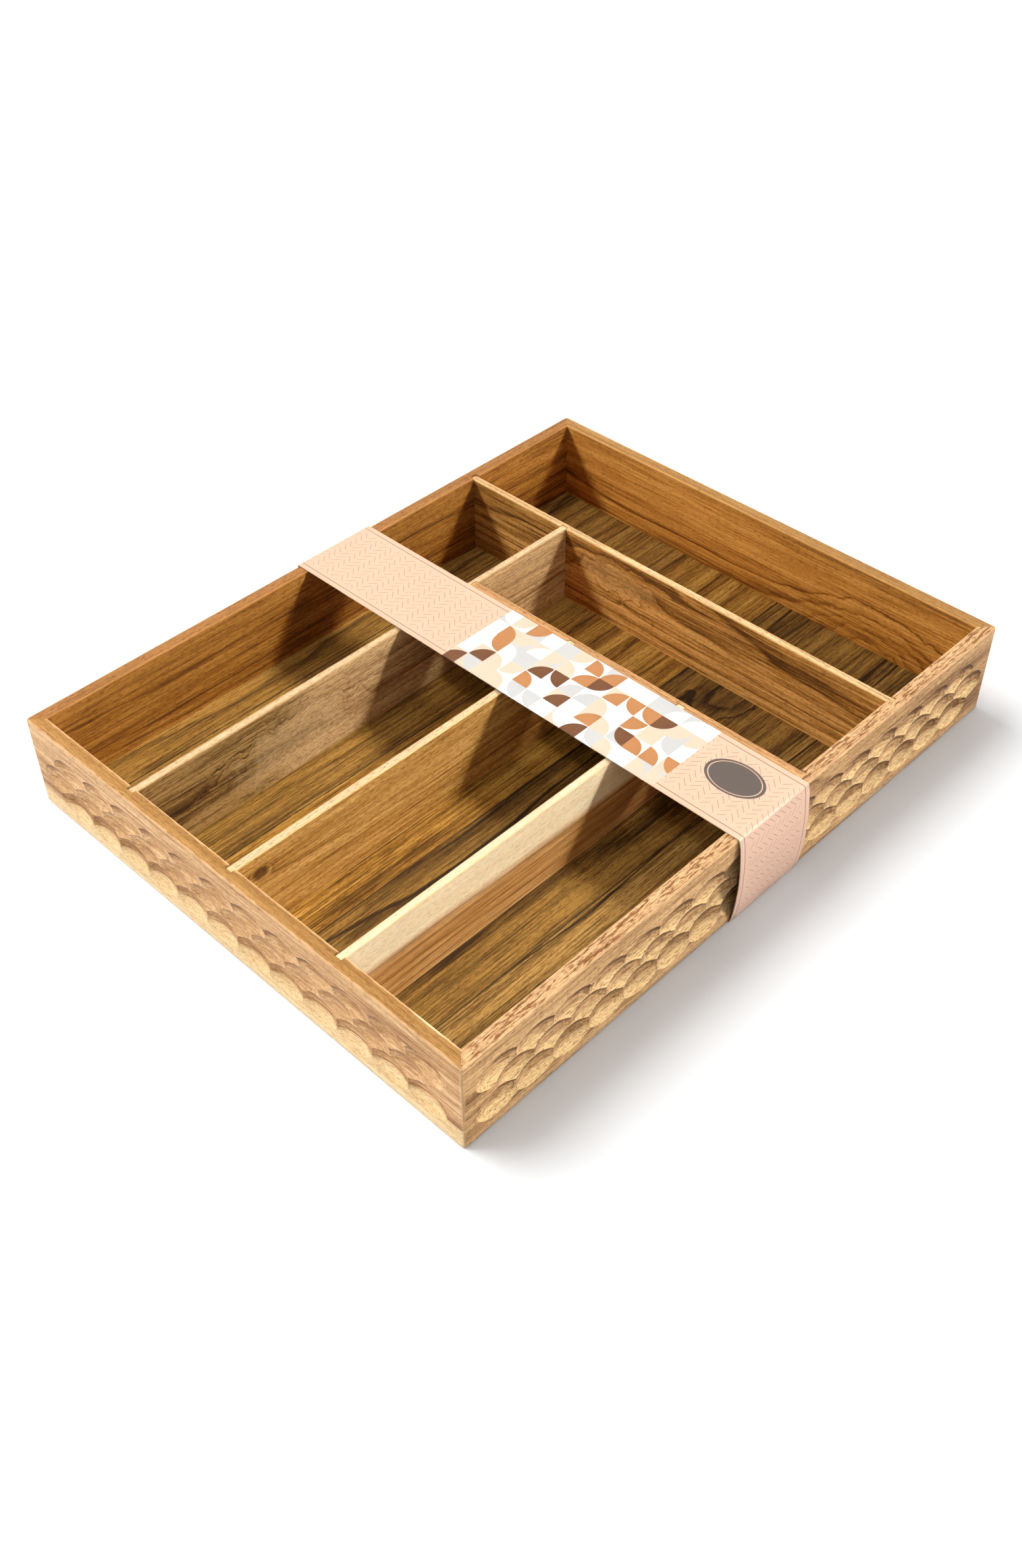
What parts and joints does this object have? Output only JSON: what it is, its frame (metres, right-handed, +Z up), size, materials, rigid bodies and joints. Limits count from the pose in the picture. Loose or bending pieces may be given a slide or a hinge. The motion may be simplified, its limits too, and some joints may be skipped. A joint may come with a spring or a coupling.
{
  "type": "cutlery tray",
  "caption": "Wooden drawer tray with carved scalloped walls, divided compartments and a printed card sleeve round its middle.",
  "frame": {"origin": "centre of the overall footprint, on the surface that the wrapped tray rests on", "axes": "+X across the long compartments to the right, +Y along them from the front wall to the rear wall, +Z up"},
  "size_m": [0.3634, 0.4572, 0.0648],
  "materials": {
    "wall_wood": "satin",
    "divider_wood": "satin",
    "floor_wood": "satin",
    "sleeve_card": "satin"
  },
  "bodies": {
    "tray": {"front_wall": "wall_wood", "right_wall": "wall_wood", "rear_wall": "wall_wood", "left_wall": "wall_wood", "lane_divider_left": "divider_wood", "lane_divider_middle": "divider_wood", "lane_divider_right": "divider_wood", "front_cross_divider": "divider_wood", "rear_cross_divider": "divider_wood", "floor_stave_1": "floor_wood", "floor_stave_2": "floor_wood", "floor_stave_3": "floor_wood", "floor_stave_4": "floor_wood", "floor_stave_5": "floor_wood"},
    "sleeve": {"card_sleeve": "sleeve_card"}
  },
  "joints": [
    {"name": "sleeve_slide", "type": "slide", "parent": "tray", "child": "sleeve", "axis": [0, 1, 0], "range_m": [-0.27, 0.257]}
  ]
}
